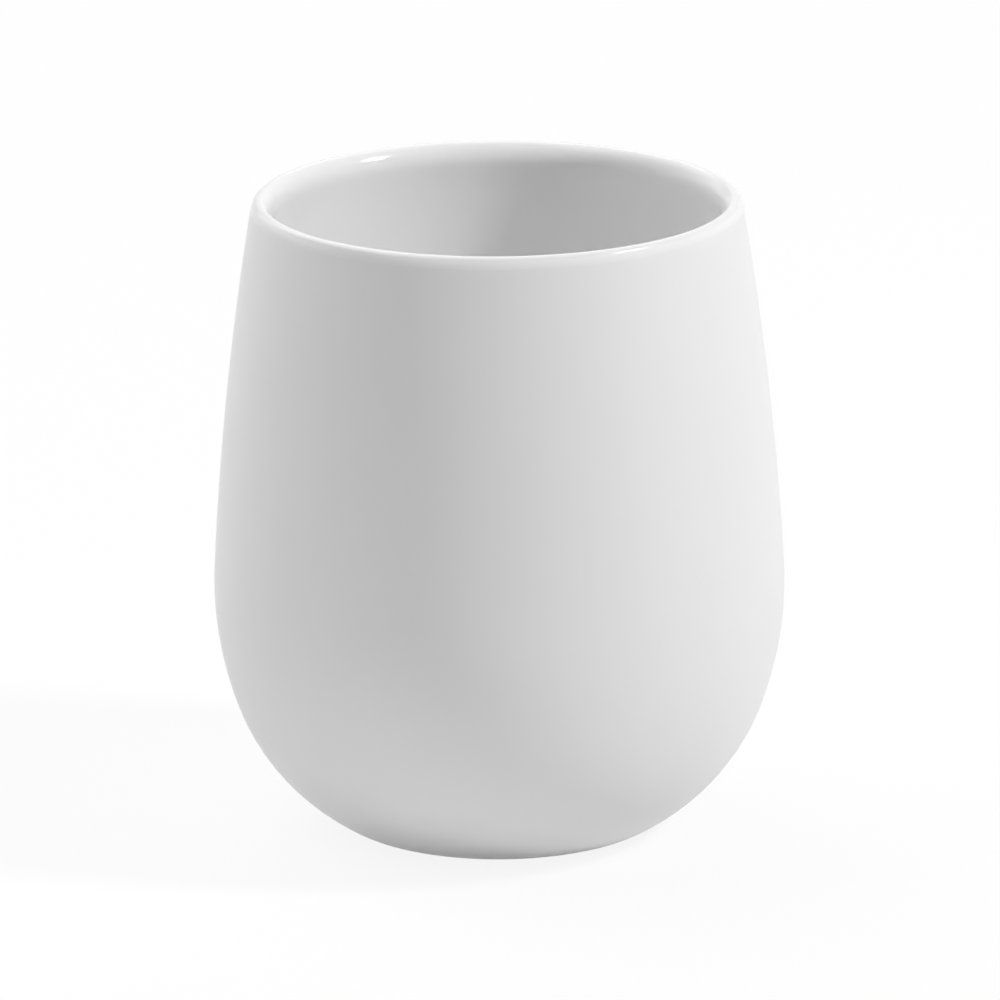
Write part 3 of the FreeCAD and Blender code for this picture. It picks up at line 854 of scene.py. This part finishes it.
class TUMBLER_OT_studio(bpy.types.Operator):
    """Sets the floor, the world, the lights and the camera"""

    bl_idname = "tumbler.studio"
    bl_label = "Studio"

    def execute(self, context):
        stage = context.scene.tumbler_stage
        bpy.ops.object.select_all(action="DESELECT")
        bpy.ops.mesh.primitive_plane_add(size=FLOOR_SIZE, location=(0.0, 0.0, 0.0))
        floor = context.object
        floor.name = "white_floor"
        floor.data.materials.append(white_floor_finish(stage))
        white_world(stage)
        add_lamp("key_light", LAMPS["key"], stage.key_power)
        add_lamp("fill_light", LAMPS["fill"], stage.fill_power)
        add_lamp("back_light", LAMPS["back"], stage.back_power)
        add_lamp("front_light", LAMPS["front"], stage.front_power)

        camera_data = bpy.data.cameras.new("photo_camera")
        camera_data.lens = stage.camera_lens
        camera = bpy.data.objects.new("photo_camera", camera_data)
        rise = stage.camera_elevation
        back = Vector((0.0, -math.cos(rise), math.sin(rise)))
        roll = Matrix.Rotation(stage.camera_roll, 4, "Z")
        sight = (-back).to_track_quat("-Z", "Y").to_matrix().to_4x4()
        place = Matrix.Translation(Vector(stage.camera_aim) + back * stage.camera_distance)
        camera.matrix_world = place @ sight @ roll
        context.scene.collection.objects.link(camera)
        context.scene.camera = camera
        context.scene.view_settings.view_transform = "Standard"
        return {"FINISHED"}


class TUMBLER_PT_sidebar(bpy.types.Panel):
    """Lists the steps that make the tumbler, and its sizes and colours"""

    bl_idname = "TUMBLER_PT_sidebar"
    bl_label = "Bathroom Tumbler"
    bl_space_type = "VIEW_3D"
    bl_region_type = "UI"
    bl_category = "Tumbler"

    def draw(self, context):
        for operator in OPERATORS:
            self.layout.operator(operator.bl_idname)
        for setting in GROUPS:
            group = getattr(context.scene, setting)
            box = self.layout.box()
            for name in group.__annotations__:
                box.prop(group, name)


GROUPS = {"tumbler_form": TumblerForm, "tumbler_finish": TumblerFinish, "tumbler_stage": TumblerStage}
OPERATORS = [
    TUMBLER_OT_stoneware_pot,
    TUMBLER_OT_gloss_lining,
    TUMBLER_OT_satin_skin,
    TUMBLER_OT_foot_pad,
    TUMBLER_OT_adhesive_film,
    TUMBLER_OT_studio,
]


def register():
    """Registers the classes and hangs their settings on the scene."""
    for made in (*GROUPS.values(), *OPERATORS, TUMBLER_PT_sidebar):
        bpy.utils.register_class(made)
    for name, group in GROUPS.items():
        setattr(bpy.types.Scene, name, PointerProperty(type=group))


def unregister():
    """Takes the settings and the classes away again."""
    for name in GROUPS:
        delattr(bpy.types.Scene, name)
    for made in (TUMBLER_PT_sidebar, *reversed(OPERATORS), *reversed(GROUPS.values())):
        bpy.utils.unregister_class(made)


def main():
    """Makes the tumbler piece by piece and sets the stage."""
    register()
    bpy.ops.tumbler.stoneware_pot()
    bpy.ops.tumbler.gloss_lining()
    bpy.ops.tumbler.satin_skin()
    bpy.ops.tumbler.foot_pad()
    bpy.ops.tumbler.adhesive_film()
    bpy.ops.tumbler.studio()


if __name__ == "__main__":
    main()
